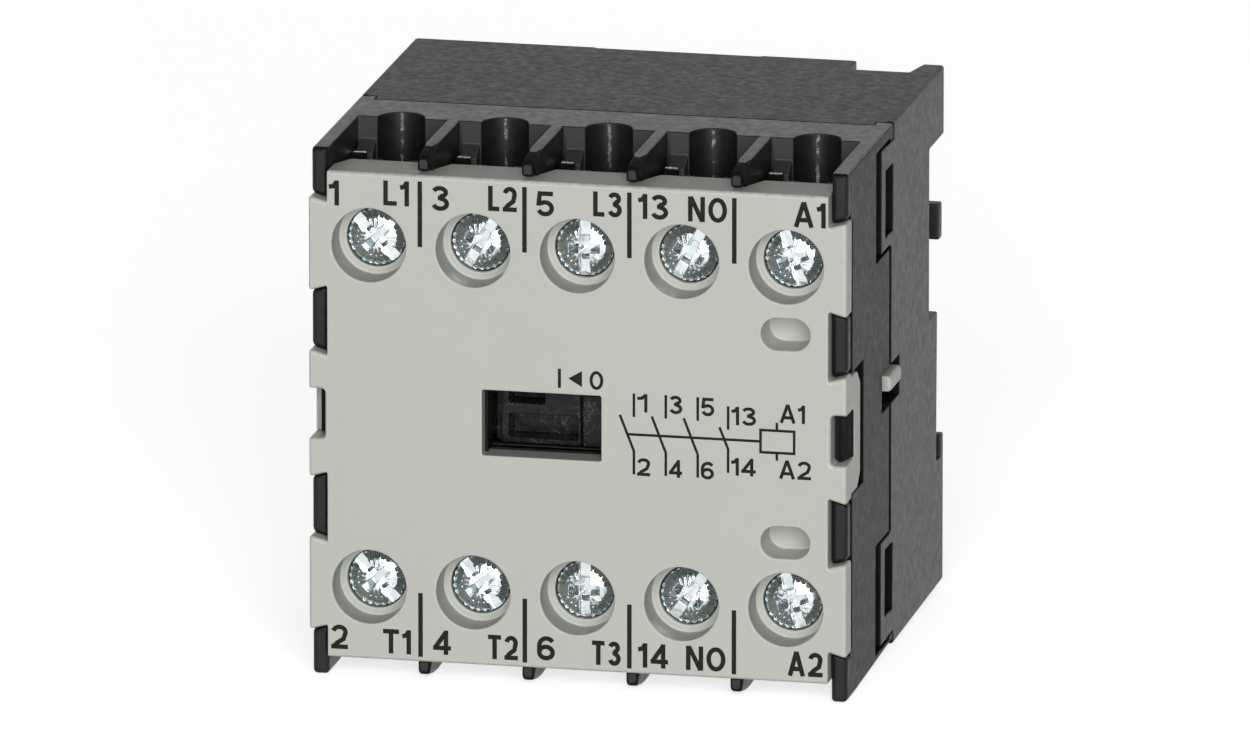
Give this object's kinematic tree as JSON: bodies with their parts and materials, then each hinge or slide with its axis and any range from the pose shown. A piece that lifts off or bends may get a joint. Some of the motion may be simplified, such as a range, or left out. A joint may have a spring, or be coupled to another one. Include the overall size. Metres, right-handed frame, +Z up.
{
  "type": "control relay",
  "caption": "Compact rail-mounted power relay with screw-clamp terminals above and below, a sliding contact carrier seen in a front window, a coil inside and a sprung rail latch behind.",
  "frame": {"origin": "centre of the rear face that sits on the mounting rail", "axes": "+Y out of the back towards the rail, -Y out of the front cover, +Z up towards the line terminals, +X to the right as seen from the front"},
  "size_m": [0.0455, 0.0439, 0.0444],
  "materials": {
    "cover_plastic": "light warm grey moulded plastic, fine grain",
    "housing_plastic": "dark grey moulded plastic, fine grain",
    "carrier_plastic": "black moulded plastic",
    "slider_plastic": "light grey moulded plastic",
    "bobbin_plastic": "natural nylon",
    "zinc_screw": "bright blue-white zinc plate",
    "zinc_plate": "zinc-plated pressed steel",
    "spring_steel": "drawn steel",
    "lamination_steel": "stacked silicon-steel sheet",
    "contact_copper": "copper alloy strip with silver tips",
    "copper_wire": "enamelled copper",
    "pad_rubber": "black rubber"
  },
  "bodies": {
    "housing": {"front_cover": "cover_plastic", "contact_housing": "housing_plastic", "rear_base": "housing_plastic", "magnet_core": "lamination_steel", "core_pad": "pad_rubber", "shading_rings": "copper_wire", "coil_bobbin": "bobbin_plastic", "coil_winding": "copper_wire", "return_spring_upper": "spring_steel", "return_spring_lower": "spring_steel", "din_latch_spring": "spring_steel", "fixed_contact_l1": "contact_copper", "fixed_contact_l2": "contact_copper", "fixed_contact_l3": "contact_copper", "fixed_contact_13": "contact_copper", "fixed_contact_t1": "contact_copper", "fixed_contact_t2": "contact_copper", "fixed_contact_t3": "contact_copper", "fixed_contact_14": "contact_copper", "coil_terminal_a1": "contact_copper", "coil_terminal_a2": "contact_copper"},
    "carrier": {"contact_carrier": "carrier_plastic", "armature": "lamination_steel", "armature_pin": "spring_steel", "contact_spring_1": "spring_steel", "contact_spring_2": "spring_steel", "contact_spring_3": "spring_steel", "contact_spring_4": "spring_steel"},
    "interlock": {"interlock_slider": "slider_plastic"},
    "latch": {"din_latch": "carrier_plastic"},
    "bridge_1": {"contact_bridge_1": "contact_copper"},
    "bridge_2": {"contact_bridge_2": "contact_copper"},
    "bridge_3": {"contact_bridge_3": "contact_copper"},
    "bridge_4": {"contact_bridge_4": "contact_copper"},
    "clamp_l1": {"clamp_plate_l1": "zinc_plate"},
    "screw_l1": {"terminal_screw_l1": "zinc_screw"},
    "clamp_l2": {"clamp_plate_l2": "zinc_plate"},
    "screw_l2": {"terminal_screw_l2": "zinc_screw"},
    "clamp_l3": {"clamp_plate_l3": "zinc_plate"},
    "screw_l3": {"terminal_screw_l3": "zinc_screw"},
    "clamp_13": {"clamp_plate_13": "zinc_plate"},
    "screw_13": {"terminal_screw_13": "zinc_screw"},
    "clamp_a1": {"clamp_plate_a1": "zinc_plate"},
    "screw_a1": {"terminal_screw_a1": "zinc_screw"},
    "clamp_t1": {"clamp_plate_t1": "zinc_plate"},
    "screw_t1": {"terminal_screw_t1": "zinc_screw"},
    "clamp_t2": {"clamp_plate_t2": "zinc_plate"},
    "screw_t2": {"terminal_screw_t2": "zinc_screw"},
    "clamp_t3": {"clamp_plate_t3": "zinc_plate"},
    "screw_t3": {"terminal_screw_t3": "zinc_screw"},
    "clamp_14": {"clamp_plate_14": "zinc_plate"},
    "screw_14": {"terminal_screw_14": "zinc_screw"},
    "clamp_a2": {"clamp_plate_a2": "zinc_plate"},
    "screw_a2": {"terminal_screw_a2": "zinc_screw"}
  },
  "joints": [
    {"name": "carrier_slide", "type": "slide", "parent": "housing", "child": "carrier", "axis": [-1, 0, 0], "range_m": [0, 0.0034], "stiffness_N_per_m": 500, "springref_m": -0.001, "deforming": ["return_spring_upper", "return_spring_lower"]},
    {"name": "interlock_slide", "type": "slide", "parent": "housing", "child": "interlock", "axis": [0, 0, -1], "range_m": [0, 0.0014]},
    {"name": "latch_slide", "type": "slide", "parent": "housing", "child": "latch", "axis": [0, 0, -1], "range_m": [0, 0.003], "stiffness_N_per_m": 800, "springref_m": -0.001, "deforming": ["din_latch_spring"]},
    {"name": "bridge_1_slide", "type": "slide", "parent": "carrier", "child": "bridge_1", "axis": [1, 0, 0], "range_m": [0, 0.0008], "deforming": ["contact_spring_1"]},
    {"name": "bridge_2_slide", "type": "slide", "parent": "carrier", "child": "bridge_2", "axis": [1, 0, 0], "range_m": [0, 0.0008], "deforming": ["contact_spring_2"]},
    {"name": "bridge_3_slide", "type": "slide", "parent": "carrier", "child": "bridge_3", "axis": [1, 0, 0], "range_m": [0, 0.0008], "deforming": ["contact_spring_3"]},
    {"name": "bridge_4_slide", "type": "slide", "parent": "carrier", "child": "bridge_4", "axis": [1, 0, 0], "range_m": [0, 0.0008], "deforming": ["contact_spring_4"]},
    {"name": "clamp_l1_slide", "type": "slide", "parent": "housing", "child": "clamp_l1", "axis": [0, 1, 0], "range_m": [0, 0.0035]},
    {"name": "screw_l1_turn", "type": "hinge", "parent": "clamp_l1", "child": "screw_l1", "pos_m": [-0.0174, -0.0344, 0.0144], "axis": [0, 1, 0], "range_deg": [0, 2520]},
    {"name": "clamp_l2_slide", "type": "slide", "parent": "housing", "child": "clamp_l2", "axis": [0, 1, 0], "range_m": [0, 0.0035]},
    {"name": "screw_l2_turn", "type": "hinge", "parent": "clamp_l2", "child": "screw_l2", "pos_m": [-0.0087, -0.0344, 0.0144], "axis": [0, 1, 0], "range_deg": [0, 2520]},
    {"name": "clamp_l3_slide", "type": "slide", "parent": "housing", "child": "clamp_l3", "axis": [0, 1, 0], "range_m": [0, 0.0035]},
    {"name": "screw_l3_turn", "type": "hinge", "parent": "clamp_l3", "child": "screw_l3", "pos_m": [0, -0.0344, 0.0144], "axis": [0, 1, 0], "range_deg": [0, 2520]},
    {"name": "clamp_13_slide", "type": "slide", "parent": "housing", "child": "clamp_13", "axis": [0, 1, 0], "range_m": [0, 0.0035]},
    {"name": "screw_13_turn", "type": "hinge", "parent": "clamp_13", "child": "screw_13", "pos_m": [0.0087, -0.0344, 0.0144], "axis": [0, 1, 0], "range_deg": [0, 2520]},
    {"name": "clamp_a1_slide", "type": "slide", "parent": "housing", "child": "clamp_a1", "axis": [0, 1, 0], "range_m": [0, 0.0035]},
    {"name": "screw_a1_turn", "type": "hinge", "parent": "clamp_a1", "child": "screw_a1", "pos_m": [0.0174, -0.0344, 0.0144], "axis": [0, 1, 0], "range_deg": [0, 2520]},
    {"name": "clamp_t1_slide", "type": "slide", "parent": "housing", "child": "clamp_t1", "axis": [0, 1, 0], "range_m": [0, 0.0035]},
    {"name": "screw_t1_turn", "type": "hinge", "parent": "clamp_t1", "child": "screw_t1", "pos_m": [-0.0174, -0.0344, -0.0144], "axis": [0, 1, 0], "range_deg": [0, 2520]},
    {"name": "clamp_t2_slide", "type": "slide", "parent": "housing", "child": "clamp_t2", "axis": [0, 1, 0], "range_m": [0, 0.0035]},
    {"name": "screw_t2_turn", "type": "hinge", "parent": "clamp_t2", "child": "screw_t2", "pos_m": [-0.0087, -0.0344, -0.0144], "axis": [0, 1, 0], "range_deg": [0, 2520]},
    {"name": "clamp_t3_slide", "type": "slide", "parent": "housing", "child": "clamp_t3", "axis": [0, 1, 0], "range_m": [0, 0.0035]},
    {"name": "screw_t3_turn", "type": "hinge", "parent": "clamp_t3", "child": "screw_t3", "pos_m": [0, -0.0344, -0.0144], "axis": [0, 1, 0], "range_deg": [0, 2520]},
    {"name": "clamp_14_slide", "type": "slide", "parent": "housing", "child": "clamp_14", "axis": [0, 1, 0], "range_m": [0, 0.0035]},
    {"name": "screw_14_turn", "type": "hinge", "parent": "clamp_14", "child": "screw_14", "pos_m": [0.0087, -0.0344, -0.0144], "axis": [0, 1, 0], "range_deg": [0, 2520]},
    {"name": "clamp_a2_slide", "type": "slide", "parent": "housing", "child": "clamp_a2", "axis": [0, 1, 0], "range_m": [0, 0.0035]},
    {"name": "screw_a2_turn", "type": "hinge", "parent": "clamp_a2", "child": "screw_a2", "pos_m": [0.0174, -0.0344, -0.0144], "axis": [0, 1, 0], "range_deg": [0, 2520]}
  ],
  "couplings": [
    {"joint": "interlock_slide", "follows": "carrier_slide", "ratio": 0.4117},
    {"joint": "bridge_1_slide", "follows": "carrier_slide", "ratio": 0.235},
    {"joint": "bridge_2_slide", "follows": "carrier_slide", "ratio": 0.235},
    {"joint": "bridge_3_slide", "follows": "carrier_slide", "ratio": 0.235},
    {"joint": "bridge_4_slide", "follows": "carrier_slide", "ratio": 0.235},
    {"joint": "screw_l1_turn", "follows": "clamp_l1_slide", "rad_per_m": 12566},
    {"joint": "screw_l2_turn", "follows": "clamp_l2_slide", "rad_per_m": 12566},
    {"joint": "screw_l3_turn", "follows": "clamp_l3_slide", "rad_per_m": 12566},
    {"joint": "screw_13_turn", "follows": "clamp_13_slide", "rad_per_m": 12566},
    {"joint": "screw_a1_turn", "follows": "clamp_a1_slide", "rad_per_m": 12566},
    {"joint": "screw_t1_turn", "follows": "clamp_t1_slide", "rad_per_m": 12566},
    {"joint": "screw_t2_turn", "follows": "clamp_t2_slide", "rad_per_m": 12566},
    {"joint": "screw_t3_turn", "follows": "clamp_t3_slide", "rad_per_m": 12566},
    {"joint": "screw_14_turn", "follows": "clamp_14_slide", "rad_per_m": 12566},
    {"joint": "screw_a2_turn", "follows": "clamp_a2_slide", "rad_per_m": 12566}
  ]
}
